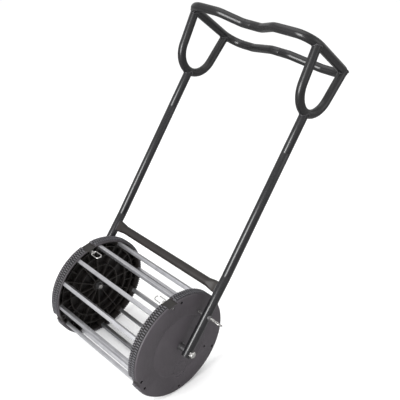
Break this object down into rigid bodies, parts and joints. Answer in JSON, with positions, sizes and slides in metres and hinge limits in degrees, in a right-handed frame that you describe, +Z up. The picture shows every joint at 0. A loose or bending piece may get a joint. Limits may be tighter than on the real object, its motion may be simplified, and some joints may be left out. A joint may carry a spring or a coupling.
{
  "type": "push reel",
  "caption": "Hand-pushed reel: an open cage of square bars between two toothed side wheels, turning at the foot of a twin-tube handle with loop grips and a waisted hand rail.",
  "frame": {"origin": "centre of the cage, on the axle line", "axes": "+X along the axle towards the user's left, +Y back towards the user, +Z up"},
  "size_m": [0.5624, 0.7735, 0.95],
  "materials": {
    "black_moulding": "moulded black polypropylene, satin",
    "bar_aluminium": "mill-finish extruded bar",
    "nylon": "natural nylon",
    "spring_steel": "drawn spring wire",
    "black_screw": "black oxide",
    "zinc_plate": "bright zinc plate",
    "dark_zinc": "dull zinc plate",
    "plug_plastic": "matte black plastic",
    "cross_paint": "matte black paint",
    "bare_steel": "plain steel tube",
    "rail_paint": "satin black powder coat",
    "tube_paint": "gloss black powder coat"
  },
  "bodies": {
    "handle": {"left_axle_bolt": "zinc_plate", "right_axle_bolt": "zinc_plate", "axle_nuts": "dark_zinc", "axle_washers": "dark_zinc", "axle_spacers": "dark_zinc", "left_lower_tube": "tube_paint", "right_lower_tube": "tube_paint", "foot_plugs": "plug_plastic", "cross_tube": "cross_paint", "left_middle_tube": "tube_paint", "right_middle_tube": "tube_paint", "left_upper_tube": "tube_paint", "right_upper_tube": "tube_paint", "tube_spigots": "bare_steel", "tube_screws": "black_screw", "left_grip_loop": "rail_paint", "right_grip_loop": "rail_paint", "left_hand_rail": "rail_paint", "right_hand_rail": "rail_paint", "rail_spigots": "bare_steel", "left_lock_spring": "spring_steel", "right_lock_spring": "spring_steel", "left_lock_barrel": "dark_zinc", "right_lock_barrel": "dark_zinc"},
    "drum": {"left_side_wheel": "black_moulding", "right_side_wheel": "black_moulding", "cage_bars": "bar_aluminium", "tie_bars": "bar_aluminium", "tie_screws": "black_screw", "left_hub_bush": "nylon", "right_hub_bush": "nylon", "left_rim_spring": "spring_steel", "right_rim_spring": "spring_steel", "rim_pin_guides": "dark_zinc"},
    "left_lock_pin": {"left_lock_pin": "zinc_plate", "left_lock_pin_loop": "zinc_plate"},
    "right_lock_pin": {"right_lock_pin": "zinc_plate", "right_lock_pin_loop": "zinc_plate"},
    "left_rim_pin": {"left_rim_pin": "zinc_plate", "left_rim_pin_loop": "zinc_plate"},
    "right_rim_pin": {"right_rim_pin": "zinc_plate", "right_rim_pin_loop": "zinc_plate"}
  },
  "joints": [
    {"name": "drum_spin", "type": "hinge", "parent": "handle", "child": "drum", "pos_m": [0, 0, 0], "axis": [1, 0, 0], "continuous": true},
    {"name": "left_lock_pull", "type": "slide", "parent": "handle", "child": "left_lock_pin", "axis": [1, 0, 0], "range_m": [0, 0.008], "stiffness_N_per_m": 400, "springref_m": -0.005, "deforming": ["left_lock_spring"]},
    {"name": "right_lock_pull", "type": "slide", "parent": "handle", "child": "right_lock_pin", "axis": [-1, 0, 0], "range_m": [0, 0.008], "stiffness_N_per_m": 400, "springref_m": -0.005, "deforming": ["right_lock_spring"]},
    {"name": "left_rim_pull", "type": "slide", "parent": "drum", "child": "left_rim_pin", "axis": [-1, 0, 0], "range_m": [0, 0.008], "stiffness_N_per_m": 400, "springref_m": -0.005, "deforming": ["left_rim_spring"]},
    {"name": "right_rim_pull", "type": "slide", "parent": "drum", "child": "right_rim_pin", "axis": [1, 0, 0], "range_m": [0, 0.008], "stiffness_N_per_m": 400, "springref_m": -0.005, "deforming": ["right_rim_spring"]}
  ]
}
